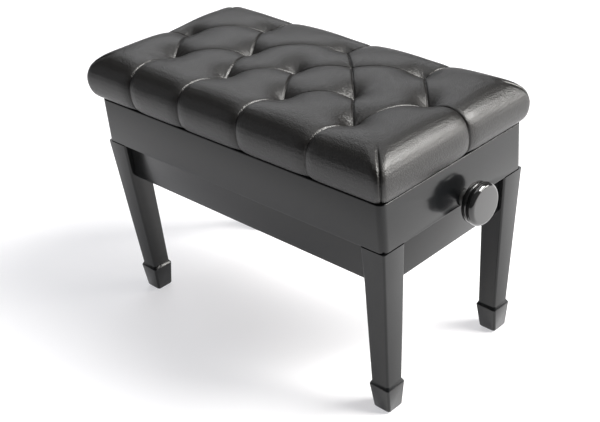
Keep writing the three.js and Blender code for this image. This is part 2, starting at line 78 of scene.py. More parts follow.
def add_camera():
    data = bpy.data.cameras.new("camera")
    data.lens = LENS
    data.sensor_width = 36.0
    data.shift_x, data.shift_y = LENS_SHIFT
    data.clip_end = 50.0
    camera = bpy.data.objects.new("camera", data)
    bpy.context.scene.collection.objects.link(camera)
    camera.location = CAMERA_PLACE
    aim = (CAMERA_TARGET - CAMERA_PLACE).to_track_quat("-Z", "Y").to_matrix()
    camera.rotation_euler = (aim @ Matrix.Rotation(CAMERA_ROLL, 3, "Z")).to_euler()
    bpy.context.scene.camera = camera


def add_area_light(name, place, target, size, power, color):
    data = bpy.data.lights.new(name, "AREA")
    data.shape = "RECTANGLE"
    data.size, data.size_y = size
    data.energy = power
    data.color = color
    light = bpy.data.objects.new(name, data)
    bpy.context.scene.collection.objects.link(light)
    light.location = place
    direction = Vector(target) - Vector(place)
    light.rotation_euler = direction.to_track_quat("-Z", "Y").to_euler()


def add_world():
    world = bpy.data.worlds.new("studio")
    world.use_nodes = True
    background = world.node_tree.nodes["Background"]
    background.inputs["Color"].default_value = (0.96, 0.97, 1.0, 1.0)
    background.inputs["Strength"].default_value = 0.12
    bpy.context.scene.world = world
    bpy.context.scene.view_settings.view_transform = "Standard"


# ---------------------------------------------------------------- shader maths

class Field:
    """A shader socket that Python's arithmetic works on."""

    def __init__(self, shader, socket):
        self.shader = shader
        self.socket = socket

    def _math(self, operation, first, second):
        return self.shader.node(
            "ShaderNodeMath", {"operation": operation}, {0: first, 1: second}).out(0)

    def __add__(self, other):
        return self._math("ADD", self, other)

    __radd__ = __add__

    def __sub__(self, other):
        return self._math("SUBTRACT", self, other)

    def __rsub__(self, other):
        return self._math("SUBTRACT", other, self)

    def __mul__(self, other):
        return self._math("MULTIPLY", self, other)

    __rmul__ = __mul__


class Node:
    """A shader node whose outputs come back as fields."""

    def __init__(self, shader, node):
        self.shader = shader
        self.node = node

    def out(self, key):
        return Field(self.shader, self.node.outputs[key])


class Shader:
    """A material being made, with its Principled surface and one way to add any other node."""

    def __init__(self, name, **constants):
        self.material = bpy.data.materials.new(name)
        self.material.use_nodes = True
        self.tree = self.material.node_tree
        self.surface = self.tree.nodes["Principled BSDF"]
        for key, value in constants.items():
            self.surface.inputs[key.replace("_", " ")].default_value = value
        self.object = self.node("ShaderNodeTexCoord").out("Object")

    def node(self, kind, settings=None, inputs=None):
        made = self.tree.nodes.new(kind)
        for key, value in (settings or {}).items():
            if key == "ramp":
                self.set_ramp(made.color_ramp, value)
            else:
                setattr(made, key, value)
        for key, value in (inputs or {}).items():
            self.feed(made.inputs[key], value)
        return Node(self, made)

    def feed(self, socket, value):
        if isinstance(value, Field):
            self.tree.links.new(value.socket, socket)
        else:
            socket.default_value = value

    @staticmethod
    def set_ramp(ramp, stops):
        while len(ramp.elements) < len(stops):
            ramp.elements.new(0.5)
        for element, (position, color) in zip(ramp.elements, stops):
            element.position = position
            element.color = color

    def set(self, key, value):
        self.feed(self.surface.inputs[key], value)

    def scaled(self, factors):
        """Object coordinates stretched along each axis."""
        return self.node("ShaderNodeMapping", {}, {"Vector": self.object, "Scale": factors}).out(0)

    def noise(self, scale, detail=2.0, roughness=0.5, where=None):
        return self.node("ShaderNodeTexNoise", {}, {
            "Vector": where or self.object, "Scale": scale, "Detail": detail,
            "Roughness": roughness}).out("Fac")

    def cells(self, scale, where=None, feature="F1"):
        return self.node("ShaderNodeTexVoronoi", {"feature": feature}, {
            "Vector": where or self.object, "Scale": scale}).out("Distance")

    def between(self, value, low, high, to_low=0.0, to_high=1.0):
        return self.node("ShaderNodeMapRange", {"clamp": True}, {
            "Value": value, "From Min": low, "From Max": high,
            "To Min": to_low, "To Max": to_high}).out(0)

    def mix(self, factor, first, second):
        mixed = self.node("ShaderNodeMix", {"data_type": "RGBA"})
        for index, value in ((0, factor), (6, first), (7, second)):
            self.feed(mixed.node.inputs[index], value)
        return mixed.out(2)

    def bump(self, height, strength, distance):
        return self.node("ShaderNodeBump", {}, {
            "Height": height, "Strength": strength, "Distance": distance}).out(0)


def grey(value, warmth=0.0):
    return (value * (1 + warmth), value, value * (1 - warmth), 1.0)


# ---------------------------------------------------------------- finishes

def leather_material():
    """Black leatherette: pebble grain, fine pores and a little uneven sheen from handling."""
    shader = Shader("black_leather", IOR=1.46)
    wander = shader.noise(38.0, 2.0)
    warped = shader.node("ShaderNodeVectorMath", {"operation": "MULTIPLY_ADD"}, {
        0: shader.node("ShaderNodeTexNoise", {}, {
            "Vector": shader.object, "Scale": 240.0, "Detail": 1.0}).out("Color"),
        1: (0.0016, 0.0016, 0.0016), 2: shader.object}).out(0)
    pebbles = shader.cells(300.0, warped)
    creases = shader.between(
        shader.cells(300.0, warped, "DISTANCE_TO_EDGE"), 0.0, 0.2)
    clumps = shader.noise(150.0, 2.0)
    grain = creases * 0.6 + (1.0 - pebbles) * 0.5 + clumps * 0.8
    handled = shader.between(shader.noise(7.0, 3.0), 0.3, 0.7)
    shader.set("Base Color", shader.mix(
        creases * 0.75 + wander * 0.25, grey(0.003), grey(0.007, 0.14)))
    shader.set("Roughness", shader.between(
        creases * 0.6 + handled * 0.4, 0.0, 1.0, 0.36, 0.29))
    shader.set("Normal", shader.bump(grain, 0.38, 0.0006))
    return shader.material


def lacquer_material():
    """Sprayed black lacquer, satin-gloss, with faint orange peel and fine dust marks."""
    shader = Shader("black_lacquer", IOR=1.36, Coat_Weight=0.1, Coat_Roughness=0.08)
    peel = shader.noise(260.0, 2.0)
    cloud = shader.noise(9.0, 3.0)
    wipes = shader.noise(40.0, 4.0, 0.6, shader.scaled((0.12, 1.0, 1.0)))
    shader.set("Base Color", shader.mix(cloud, grey(0.004), grey(0.006, -0.12)))
    shader.set("Roughness", shader.between(cloud * 0.5 + wipes * 0.5, 0.3, 0.7, 0.16, 0.23))
    shader.set("Normal", shader.bump(peel, 0.05, 0.0004))
    return shader.material


def knob_material():
    """Polished black knob with a few hairline scratches from turning."""
    shader = Shader("knob_lacquer", IOR=1.5, Coat_Weight=0.5, Coat_Roughness=0.03)
    haze = shader.noise(60.0, 3.0)
    lines = shader.noise(900.0, 2.0, 0.5, shader.scaled((1.0, 0.05, 1.0)))
    shader.set("Base Color", shader.mix(haze, grey(0.006), grey(0.009)))
    shader.set("Roughness", shader.between(haze * 0.6 + lines * 0.4, 0.25, 0.75, 0.05, 0.11))
    shader.set("Normal", shader.bump(haze, 0.04, 0.0003))
    return shader.material


def zinc_material():
    """Bright zinc plate with a fine crystalline mottle."""
    shader = Shader("zinc_steel", Metallic=1.0)
    mottle = shader.cells(420.0)
    cloud = shader.noise(55.0, 3.0)
    shader.set("Base Color", shader.mix(
        mottle * 0.5 + cloud * 0.5, grey(0.44, 0.02), grey(0.66, -0.02)))
    shader.set("Roughness", shader.between(mottle + cloud, 0.3, 1.3, 0.24, 0.42))
    shader.set("Normal", shader.bump(mottle, 0.06, 0.0003))
    return shader.material


def powder_coat_material():
    """Black powder coat, finely pimpled."""
    shader = Shader("black_steel", IOR=1.5)
    pimples = shader.noise(950.0, 2.0)
    cloud = shader.noise(18.0, 3.0)
    shader.set("Base Color", shader.mix(cloud, grey(0.016), grey(0.028)))
    shader.set("Roughness", shader.between(pimples, 0.3, 0.7, 0.38, 0.55))
    shader.set("Normal", shader.bump(pimples, 0.25, 0.0003))
    return shader.material


def blackened_steel_material():
    """Chemically blackened steel: dark, oiled, with turning marks round its length."""
    shader = Shader("blackened_steel", Metallic=1.0)
    cloud = shader.noise(45.0, 3.0)
    marks = shader.noise(700.0, 2.0, 0.5, shader.scaled((1.0, 0.08, 0.08)))
    shader.set("Base Color", shader.mix(cloud, grey(0.022), grey(0.045, 0.05)))
    shader.set("Roughness", shader.between(marks, 0.3, 0.7, 0.3, 0.46))
    shader.set("Normal", shader.bump(marks, 0.1, 0.0002))
    return shader.material


def foam_material():
    """Open-cell upholstery foam."""
    shader = Shader("foam", IOR=1.3)
    pores = shader.cells(700.0)
    cloud = shader.noise(20.0, 3.0)
    shader.set("Base Color", shader.mix(
        cloud * 0.5 + pores * 0.5, (0.58, 0.5, 0.3, 1.0), (0.74, 0.68, 0.48, 1.0)))
    shader.set("Roughness", shader.between(pores, 0.0, 0.6, 0.85, 0.98))
    shader.set("Normal", shader.bump(pores, 0.4, 0.0006))
    return shader.material


def bare_wood_material():
    """Plain sanded plywood and softwood, with grain along X and a few darker bands."""
    shader = Shader("inner_wood", IOR=1.45)
    along = shader.scaled((0.6, 12.0, 12.0))
    grain = shader.noise(16.0, 6.0, 0.62, along)
    fibres = shader.noise(150.0, 3.0, 0.5, along)
    shader.set("Base Color", shader.node("ShaderNodeValToRGB", {"ramp": [
        (0.30, (0.23, 0.125, 0.055, 1.0)), (0.52, (0.42, 0.27, 0.14, 1.0)),
        (0.72, (0.52, 0.36, 0.21, 1.0))]}, {"Fac": grain * 0.75 + fibres * 0.25}).out(0))
    shader.set("Roughness", shader.between(fibres, 0.3, 0.7, 0.58, 0.76))
    shader.set("Normal", shader.bump(fibres, 0.2, 0.0004))
    return shader.material


def nylon_material():
    """Moulded black nylon with a light texture."""
    shader = Shader("glide_plastic", IOR=1.5)
    texture = shader.noise(1400.0, 2.0)
    cloud = shader.noise(30.0, 2.0)
    shader.set("Base Color", shader.mix(cloud, grey(0.016), grey(0.03)))
    shader.set("Roughness", shader.between(texture, 0.3, 0.7, 0.42, 0.6))
    shader.set("Normal", shader.bump(texture, 0.15, 0.0002))
    return shader.material


def floor_material():
    shader = Shader("floor_paper", IOR=1.4)
    shader.set("Base Color", shader.mix(
        shader.noise(3.0, 2.0), (0.5, 0.5, 0.51, 1.0), (0.515, 0.515, 0.52, 1.0)))
    shader.set("Roughness", 0.65)
    shader.set("Emission Color", (0.97, 0.97, 1.0, 1.0))
    shader.set("Emission Strength", 0.52)
    return shader.material


# ---------------------------------------------------------------- modelling helpers

MERGE_DISTANCE = 0.00001            # corners closer than this are one corner
FLAT_ANGLE = math.radians(1.0)      # faces that turn by less than this are one face


def deselect_all():
    if bpy.context.object and bpy.context.object.mode != "OBJECT":
        bpy.ops.object.mode_set(mode="OBJECT")
    bpy.ops.object.select_all(action="DESELECT")


def select_only(piece):
    deselect_all()
    piece.select_set(True)
    bpy.context.view_layer.objects.active = piece


def new_piece(name):
    piece = bpy.context.object
    piece.name = name
    piece.data.name = name
    return piece


def settle(piece):
    """Puts the piece's place and size into its mesh."""
    select_only(piece)
    bpy.ops.object.transform_apply(location=True, rotation=True, scale=True)
    return piece


def add_box(name, low, high):
    deselect_all()
    centre = (Vector(low) + Vector(high)) / 2
    bpy.ops.mesh.primitive_cube_add(size=1, location=centre)
    piece = new_piece(name)
    piece.scale = Vector(high) - Vector(low)
    return settle(piece)


def pick(piece, faces=None, edges=None):
    """In edit mode, selects just the faces or the edges that pass the given test."""
    bpy.ops.mesh.select_all(action="DESELECT")
    mesh = bmesh.from_edit_mesh(piece.data)
    bpy.ops.mesh.select_mode(type="FACE" if faces else "EDGE")
    passes = faces or edges
    for element in mesh.faces if faces else mesh.edges:
        if passes(element):
            element.select = True
    mesh.select_flush_mode()
    bmesh.update_edit_mesh(piece.data)


def rises(edge, share):
    """Whether an edge climbs by more than the given share of its own length."""
    a, b = (vert.co for vert in edge.verts)
    return abs(a.z - b.z) > share * (a - b).length


def add_modifier(piece, kind, **settings):
    modifier = piece.modifiers.new(kind.lower(), kind)
    for key, value in settings.items():
        setattr(modifier, key, value)
    select_only(piece)
    bpy.ops.object.modifier_apply(modifier=modifier.name)


def ease_edges(piece, width, segments=2, angle=30.0):
    add_modifier(piece, "BEVEL", width=width, segments=segments, limit_method="ANGLE",
                 angle_limit=math.radians(angle), harden_normals=False)


def smooth(piece, angle=35.0):
    select_only(piece)
    bpy.ops.object.shade_smooth_by_angle(angle=math.radians(angle))


def finish_piece(piece, material, body, slot, *nodes):
    piece.data.materials.clear()
    piece.data.materials.append(material)
    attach(piece, body)
    if nodes:
        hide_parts(*nodes)


def fair_copy(node):
    """A copy of a CAD node with its loose triangles joined into clean faces."""
    source = frame["nodes"][node]
    piece = bpy.data.objects.new("fair_" + node, source.data.copy())
    bpy.context.scene.collection.objects.link(piece)
    select_only(piece)
    bpy.ops.object.mode_set(mode="EDIT")
    bpy.ops.mesh.select_all(action="SELECT")
    bpy.ops.mesh.remove_doubles(threshold=MERGE_DISTANCE)
    bpy.ops.mesh.dissolve_limited(angle_limit=FLAT_ANGLE)
    bpy.ops.object.mode_set(mode="OBJECT")
    return piece


def turned(name, profile, centre, direction, sides=64):
    """A piece turned on a lathe and closed at both ends.

    A circle is drawn out ring by ring along +X or -X.
    """
    deselect_all()
    first_out, first_radius = profile[0]
    bpy.ops.mesh.primitive_circle_add(
        vertices=sides, radius=first_radius, fill_type="NGON",
        location=Vector(centre) + Vector((direction * first_out, 0, 0)),
        rotation=(0, math.pi / 2, 0))
    piece = settle(new_piece(name))
    bpy.ops.object.mode_set(mode="EDIT")
    bpy.ops.mesh.select_all(action="SELECT")
    out, radius = first_out, first_radius
    for next_out, next_radius in profile[1:]:
        bpy.ops.mesh.extrude_region_move(
            TRANSFORM_OT_translate={"value": (direction * (next_out - out), 0, 0)})
        factor = next_radius / radius
        here = Vector(centre) + Vector((direction * next_out, 0, 0))
        bpy.ops.transform.resize(value=(1, factor, factor), center_override=here)
        out, radius = next_out, next_radius
    bpy.ops.mesh.select_all(action="SELECT")
    bpy.ops.mesh.normals_make_consistent(inside=False)
    bpy.ops.object.mode_set(mode="OBJECT")
    return piece


# ---------------------------------------------------------------- cushion

COVER_CORE_INSET = 60 * MM          # from the skirt's face to where the cushion's flat top ends
GRID = 1.0 * MM

# Half-section of the cushion's edge, in millimetres: (distance out from the skirt's face,
# height over its base).
EDGE_SECTION = [
    (-60, 82.5), (-46, 82.2), (-34, 81.2), (-23, 79.2), (-13, 76.0), (-5, 71.8), (2, 66.4),
    (7.4, 60.0), (10.8, 52.6), (12.8, 44.6), (13.6, 36.5), (13.4, 28.5), (12.2, 20.5),
    (10.0, 13.0), (6.6, 7.6), (2.2, 4.4), (-1.6, 3.2), (-4.2, 2.4), (-6.0, 0.0),
]
CROWN = EDGE_SECTION[0][1] * MM
EDGE_OVERHANG = 13.6 * MM
SECTION_SAMPLES = 60                # for each point of the section
CORNER_RADIUS = 12 * MM             # seen from above, at the widest part of the side
CORNER_DROOP = 0.4                  # how much the corner rounds as the side rises over the top

# Tufts, in millimetres: x, y and how far each is pulled down.
TUFTS = {
    "a": (-226, -71, 1.0), "e": (-87, -80, 1.0), "g": (53, -84, 1.0), "j": (206, -90, 1.0),
    "b": (-280, 15, 0.9), "d": (-126, 14, 1.0), "f": (-5, 3, 0.95), "i": (138, -13, 1.0),
    "l": (256, 23, 1.0), "c": (-182, 111, 0.9), "h": (2, 119, 0.9), "k": (176, 110, 0.95),
}
CROSSING = (73, 54, 0.35)           # two long pleats cross here without a button

# Pleats run from tuft to tuft, and from the outer tufts over the edge and down the side.
# A point beyond the skirt's face is a distance down the cushion's side.
LENGTHWISE_PLEATS = [
    ["a", "b"], ["e", "d", "c"], ["g", "f"], ["j", "i", "m", "h"], ["l", "k"],
]
CROSSWISE_PLEATS = [
    ["b", "c"], ["a", "d", "h"], ["e", "f", "m", "k"], ["g", "i"], ["j", "l"],
]
EDGE_PLEATS = [
    ["a", (-221, -150), (-213, -260)], ["e", (-97, -152), (-97, -260)],
    ["g", (41, -152), (42, -260)], ["j", (194, -156), (186, -260)],
    ["l", (300, 20), (345, 19), (430, 22)], ["b", (-310, 0), (-345, -14), (-430, -18)],
    ["c", (-166, 150), (-156, 260)], ["h", (22, 150), (26, 260)], ["k", (190, 150), (200, 260)],
]

# How far the padding is pulled in or puffed up, and how far from its tuft or pleat that is felt.
TUFT_DEPTH = 9.5 * MM
TUFT_REACH = 17 * MM
SWELL_DEPTH = 13 * MM
SWELL_REACH = 42 * MM
PUFF_HEIGHT = 3.6 * MM
PUFF_REACH = 9 * MM
LIP_HEIGHT = 1.1 * MM
LIP_REACH = 7 * MM
CREASE_DEPTH = 2.6 * MM
CREASE_REACH = 1.2 * MM
GATHER = 0.12 * MM                  # height of the small folds in a ring around each tuft
GATHER_RADIUS = 13 * MM
GATHER_WIDTH = 9 * MM
REAR_SHIFT = 5 * MM
REAR_DROOP = 5 * MM
REAR_START = 40 * MM                # behind the middle, where the padding starts to thin
LEFT_SHIFT = 6 * MM
LEFT_START = 150 * MM
DART_DEPTH = 3.2 * MM
DART_REACH = 1.7 * MM
DART_FADE = (34 * MM, 62 * MM)      # down the section, from where a dart starts to where it is full
HEM_FADE = (16 * MM, 3 * MM)        # before the bottom edge, where the relief fades out
BUTTON_RADIUS = 6.5 * MM
BUTTON_FLATNESS = 0.38
BUTTON_SUNK = 6.5 * MM              # under the crown, before the tuft's own depth
BUTTON_BED = 0.4 * MM               # how far a button presses into the cover


def smooth_step(values, low, high):
    t = np.clip((values - low) / (high - low), 0, 1)
    return t * t * (3 - 2 * t)


def section_curve():
    """The edge section as finely sampled arrays: length along it, distance out, height, normals."""
    points = np.array(EDGE_SECTION, float) * MM
    steps = np.arange(len(points))
    fine = np.linspace(0, len(points) - 1, SECTION_SAMPLES * len(points))
    # Straight runs from point to point, rounded by averaging over about one run.
    out = np.interp(fine, steps, points[:, 0])
    height = np.interp(fine, steps, points[:, 1])
    kernel = np.hanning(SECTION_SAMPLES + 1)
    kernel /= kernel.sum()
    pad = len(kernel) // 2

    def blur(values):
        ends = np.concatenate([
            2 * values[0] - values[pad:0:-1], values, 2 * values[-1] - values[-2:-pad - 2:-1]])
        return np.convolve(ends, kernel, "valid")

    out, height = blur(out), blur(height)
    length = np.concatenate([[0], np.cumsum(np.hypot(np.diff(out), np.diff(height)))])
    d_out, d_height = np.gradient(out, length), np.gradient(height, length)
    return length, out, height, -d_height, d_out


def along_and_across(px, py, a, b):
    """Where points lie along a line from a to b (0 to 1), and how far to its left they are."""
    ax, ay = a
    dx, dy = b[0] - ax, b[1] - ay
    length = math.hypot(dx, dy)
    along = np.clip(((px - ax) * dx + (py - ay) * dy) / length ** 2, 0, 1)
    distance = np.hypot(px - ax - along * dx, py - ay - along * dy)
    left = np.sign((py - ay) * dx - (px - ax) * dy)
    return along, distance, left


def pleat_lines(pleats):
    places = {name: (x * MM, y * MM) for name, (x, y, _) in TUFTS.items()}
    places["m"] = (CROSSING[0] * MM, CROSSING[1] * MM)
    for pleat in pleats:
        line = [places[p] if isinstance(p, str) else (p[0] * MM, p[1] * MM) for p in pleat]
        yield from zip(line, line[1:])


def unfolded_relief(u, v):
    """How far the padded cover stands out from its plain shape, on the unfolded cover."""
    nearest = np.full(u.shape, 1.0)
    lip = np.zeros(u.shape)
    for pleats in (LENGTHWISE_PLEATS, CROSSWISE_PLEATS, EDGE_PLEATS):
        for a, b in pleat_lines(pleats):
            along, distance, left = along_and_across(u, v, a, b)
            nearest = np.minimum(nearest, distance)
            # The pillow on one side of a pleat laps a little over its neighbour.
            lap = -left if pleats is CROSSWISE_PLEATS and (b[0] > a[0] or b[1] < a[1]) else left
            if pleats is not EDGE_PLEATS:
                lip += lap * np.exp(-distance / LIP_REACH) * np.sqrt(4 * along * (1 - along))
    puff = PUFF_HEIGHT * (0.2 - np.exp(-(nearest / PUFF_REACH) ** 1.15))
    crease = CREASE_DEPTH * np.exp(-(nearest / CREASE_REACH) ** 2)
    pull = np.zeros(u.shape)
    gather = np.zeros(u.shape)
    for index, (x, y, depth) in enumerate(list(TUFTS.values()) + [CROSSING]):
        distance = np.hypot(u - x * MM, v - y * MM)
        pull += depth * TUFT_DEPTH * np.exp(-(distance / TUFT_REACH) ** 1.4)
        pull += depth * SWELL_DEPTH * np.exp(-(distance / SWELL_REACH) ** 1.6)
        turn = np.arctan2(v - y * MM, u - x * MM)
        ring = np.exp(-((distance - GATHER_RADIUS) / GATHER_WIDTH) ** 2)
        folds = np.sin(9 * turn + index) + 0.7 * np.sin(14 * turn + 2.4 * index)
        gather += depth * GATHER * ring * folds
    return puff - crease + LIP_HEIGHT * lip / 2 + gather - pull


def make_cushion():
    """The cover: a sheet whose middle lies flat and whose border is swept down the edge section."""
    length, out, height, normal_out, normal_up = section_curve()
    core_x, core_y = HALF_X - COVER_CORE_INSET, HALF_Y - COVER_CORE_INSET
    reach = length[-1]
    size_x, size_y = 2 * (core_x + reach), 2 * (core_y + reach)
    deselect_all()
    bpy.ops.mesh.primitive_grid_add(
        x_subdivisions=round(size_x / GRID), y_subdivisions=round(size_y / GRID), size=2)
    piece = new_piece("tufted_cushion")
    count = len(piece.data.vertices)
    flat = np.empty(count * 3)
    piece.data.vertices.foreach_get("co", flat)
    flat = flat.reshape(-1, 3)
    u, v = flat[:, 0] * size_x / 2, flat[:, 1] * size_y / 2

    beyond_x, beyond_y = np.maximum(np.abs(u) - core_x, 0), np.maximum(np.abs(v) - core_y, 0)
    travelled = np.maximum(beyond_x, beyond_y)
    lesser = np.minimum(beyond_x, beyond_y)
    here_out = np.interp(travelled, length, out)
    here_up = np.interp(travelled, length, height)
    n_out, n_up = np.interp(travelled, length, normal_out), np.interp(travelled, length, normal_up)

    # In the corner the square ring of the sheet becomes a straight run and a rounded turn.
    ring = here_out + COVER_CORE_INSET
    radius = np.minimum(CORNER_RADIUS + CORNER_DROOP * (EDGE_OVERHANG - here_out), ring)
    straight, turn = ring - radius, radius * math.pi / 4
    along = np.where(travelled > 0, lesser / np.where(travelled > 0, travelled, 1), 0)
    walked = along * (straight + turn)
    angle = np.clip((walked - straight) / np.maximum(turn, 1e-9), 0, 1) * math.pi / 4
    angle = np.where(walked > straight, angle, 0)
    major = straight + radius * np.cos(angle)
    minor = np.where(walked > straight, straight + radius * np.sin(angle), walked)
    along_x = beyond_x >= beyond_y
    place_x, place_y = np.where(along_x, major, minor), np.where(along_x, minor, major)
    way_x = np.where(along_x, np.cos(angle), np.sin(angle)) * np.sign(u)
    way_y = np.where(along_x, np.sin(angle), np.cos(angle)) * np.sign(v)
    x = np.clip(u, -core_x, core_x) + np.where(travelled > 0, place_x, 0) * np.sign(u)
    y = np.clip(v, -core_y, core_y) + np.where(travelled > 0, place_y, 0) * np.sign(v)
    z = cover_low.z + here_up

    relief = unfolded_relief(u, v)
    from_corner = np.where(lesser > 0, straight + turn - walked, 1.0)
    dart = np.exp(-(from_corner / DART_REACH) ** 2) + 0.35 * np.exp(-(from_corner / 9 / MM) ** 2)
    relief -= DART_DEPTH * dart * smooth_step(travelled, *DART_FADE)
    relief *= 1 - smooth_step(travelled, reach - HEM_FADE[0], reach - HEM_FADE[1])
    on_top = travelled <= 0
    nx, ny = np.where(on_top, 0, way_x * n_out), np.where(on_top, 0, way_y * n_out)
    nz = np.where(on_top, 1, n_up)
    # The padding is thinner and softer towards the rear.
    toward_rear = smooth_step(y, REAR_START, HALF_Y)
    y -= REAR_SHIFT * toward_rear * smooth_step(z, cover_low.z - 10 * MM, cover_low.z + 30 * MM)
    z -= REAR_DROOP * toward_rear * smooth_step(z, cover_low.z + 20 * MM, cover_high.z)
    x -= LEFT_SHIFT * smooth_step(-x, LEFT_START, HALF_X)
    placed = np.stack([x + nx * relief, y + ny * relief, z + nz * relief], 1)
    piece.data.vertices.foreach_set("co", placed.ravel())
    piece.data.update()
    return piece


def close_cushion_base(piece):
    """Turns the cover's rim under the board's edge and closes it over the board's top."""
    select_only(piece)
    bpy.ops.object.mode_set(mode="EDIT")
    bpy.ops.mesh.select_all(action="DESELECT")
    bpy.ops.mesh.select_mode(type="EDGE")
    bpy.ops.mesh.select_non_manifold()
    centre = (0, 0, cover_low.z)
    turn_under = 22 * MM            # how far in the rim runs before it rises
    pocket_margin = 4 * MM          # from the rim's own inset to the pocket that holds the board
    clearance = 0.2 * MM            # between the pocket and the board, below and above
    bpy.ops.mesh.extrude_edges_move(TRANSFORM_OT_translate={"value": (0, 0, 0)})
    bpy.ops.transform.resize(value=(
        1 - turn_under / HALF_X, 1 - turn_under / HALF_Y, 1), center_override=centre)
    rise = board_low.z - clearance - cover_low.z
    bpy.ops.mesh.extrude_edges_move(TRANSFORM_OT_translate={"value": (0, 0, rise)})
    bpy.ops.mesh.extrude_edges_move(TRANSFORM_OT_translate={"value": (0, 0, 0)})
    bpy.ops.transform.resize(value=(
        (HALF_X - pocket_margin) / (HALF_X - turn_under),
        (HALF_Y - pocket_margin) / (HALF_Y - turn_under), 1), center_override=centre)
    height = board_high.z + 2 * clearance - board_low.z
    bpy.ops.mesh.extrude_edges_move(TRANSFORM_OT_translate={"value": (0, 0, height)})
    bpy.ops.mesh.edge_face_add()
    bpy.ops.mesh.select_all(action="SELECT")
    bpy.ops.mesh.normals_make_consistent(inside=False)
    bpy.ops.object.mode_set(mode="OBJECT")


# ---------------------------------------------------------------- woodwork

FOOT, COLLAR, ANKLE = 33, 41, 35    # widths of the leg near the floor, in millimetres
# The spade foot, in millimetres: (height over the floor, width at that height).
FOOT_OUTLINE = [
    (3.3, FOOT - 2.6), (5.5, FOOT), (47.6, COLLAR - 0.2), (49, COLLAR), (50, COLLAR - 0.8),
    (54.2, ANKLE + 0.8), (55.8, ANKLE),
]
TAPER_START = 55 * MM               # height over the floor where the leg's taper starts
FIT = 0.3 * MM                      # gap from the leg to the rails and to the skirt
LEG_CORNER = 3.6 * MM               # bevel down the corners of the leg
LEG_EASING = 0.8 * MM
RAIL_EASING = 1.0 * MM
SKIRT_CORNER = 12 * MM
SKIRT_EASING = 1.8 * MM
BUSH_HOLE_RADIUS = 8.9 * MM
UPRIGHT, STEEP = 0.8, 0.5           # an edge's rise as a share of its length


def make_skirt(material):
    piece = add_box("skirt_frame", (-HALF_X, -HALF_Y, SKIRT_BOTTOM), (HALF_X, HALF_Y, SKIRT_TOP))
    select_only(piece)
    bpy.ops.object.mode_set(mode="EDIT")
    pick(piece, edges=lambda edge: rises(edge, UPRIGHT))
    bpy.ops.mesh.bevel(offset=SKIRT_CORNER, segments=10, affect="EDGES")
    pick(piece, faces=lambda face: abs(face.normal.z) > 0.9)
    bpy.ops.mesh.delete(type="ONLY_FACE")
    bpy.ops.object.mode_set(mode="OBJECT")
    add_modifier(piece, "SOLIDIFY", thickness=SKIRT_THICKNESS, offset=-1)
    for place in ("left", "right"):
        low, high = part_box("shaft_bush_" + place)
        centre = (low + high) / 2
        deselect_all()
        bpy.ops.mesh.primitive_cylinder_add(
            radius=BUSH_HOLE_RADIUS, depth=60 * MM, location=centre,
            rotation=(0, math.pi / 2, 0))
        cutter = new_piece("cutter")
        add_modifier(piece, "BOOLEAN", operation="DIFFERENCE", object=cutter, solver="EXACT")
        bpy.data.objects.remove(cutter)
    ease_edges(piece, SKIRT_EASING, 3)
    smooth(piece)
    boards = ["skirt_" + place for place in ("front", "rear", "left", "right")]
    finish_piece(piece, material, "seat", "black_lacquer", *boards)


def make_leg(place, sign_x, sign_y, material):
    """A square leg drawn up from the floor: foot, collar, taper, shoulder and rebated post."""
    node = "leg_" + place
    glide_low, glide_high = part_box("foot_glide_" + place)
    foot_x, foot_y = abs(glide_low.x + glide_high.x) / 2, abs(glide_low.y + glide_high.y) / 2
    low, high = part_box(node)
    top_x, top_y = max(abs(low.x), abs(high.x)), max(abs(low.y), abs(high.y))
    inner_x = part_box("rail_front")[1].x + FIT
    inner_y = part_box("rail_right")[1].y + FIT
    post_x, post_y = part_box("rail_right")[1].x, -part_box("rail_front")[0].y
    rail_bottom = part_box("rail_front")[0].z
    shoulder = SKIRT_BOTTOM - FIT

    def around_foot(z, size):
        return z * MM, foot_x, foot_y, size / 2 * MM, size / 2 * MM

    def between(z, outer_x, outer_y):
        return (z, (outer_x + inner_x) / 2, (outer_y + inner_y) / 2,
                (outer_x - inner_x) / 2, (outer_y - inner_y) / 2)

    drop = (shoulder - rail_bottom) / (shoulder - TAPER_START)
    ankle_x, ankle_y = foot_x + ANKLE / 2 * MM, foot_y + ANKLE / 2 * MM
    levels = [
        *(around_foot(z, size) for z, size in FOOT_OUTLINE),
        between(rail_bottom, top_x + (ankle_x - top_x) * drop, top_y + (ankle_y - top_y) * drop),
        between(shoulder, top_x, top_y), between(shoulder, post_x, post_y),
        between(high.z, post_x, post_y),
    ]
    deselect_all()
    z, x, y, half_x, half_y = levels[0]
    bpy.ops.mesh.primitive_plane_add(size=2, location=(sign_x * x, sign_y * y, z))
    piece = new_piece("turned_" + node)
    piece.scale = (half_x, half_y, 1)
    settle(piece)
    bpy.ops.object.mode_set(mode="EDIT")
    bpy.ops.mesh.select_all(action="SELECT")
    for next_z, next_x, next_y, next_half_x, next_half_y in levels[1:]:
        bpy.ops.mesh.extrude_region_move(TRANSFORM_OT_translate={
            "value": (sign_x * (next_x - x), sign_y * (next_y - y), next_z - z)})
        bpy.ops.transform.resize(
            value=(next_half_x / half_x, next_half_y / half_y, 1),
            center_override=(sign_x * next_x, sign_y * next_y, next_z))
        z, x, y, half_x, half_y = next_z, next_x, next_y, next_half_x, next_half_y
    bpy.ops.mesh.select_all(action="SELECT")
    bpy.ops.mesh.normals_make_consistent(inside=False)
    pick(piece, edges=lambda edge: rises(edge, STEEP))
    bpy.ops.mesh.bevel(offset=LEG_CORNER, segments=4, affect="EDGES")
    bpy.ops.object.mode_set(mode="OBJECT")
    ease_edges(piece, LEG_EASING, 3, 28)
    smooth(piece, 40)
    finish_piece(piece, material, "lower_frame", "black_lacquer", node)


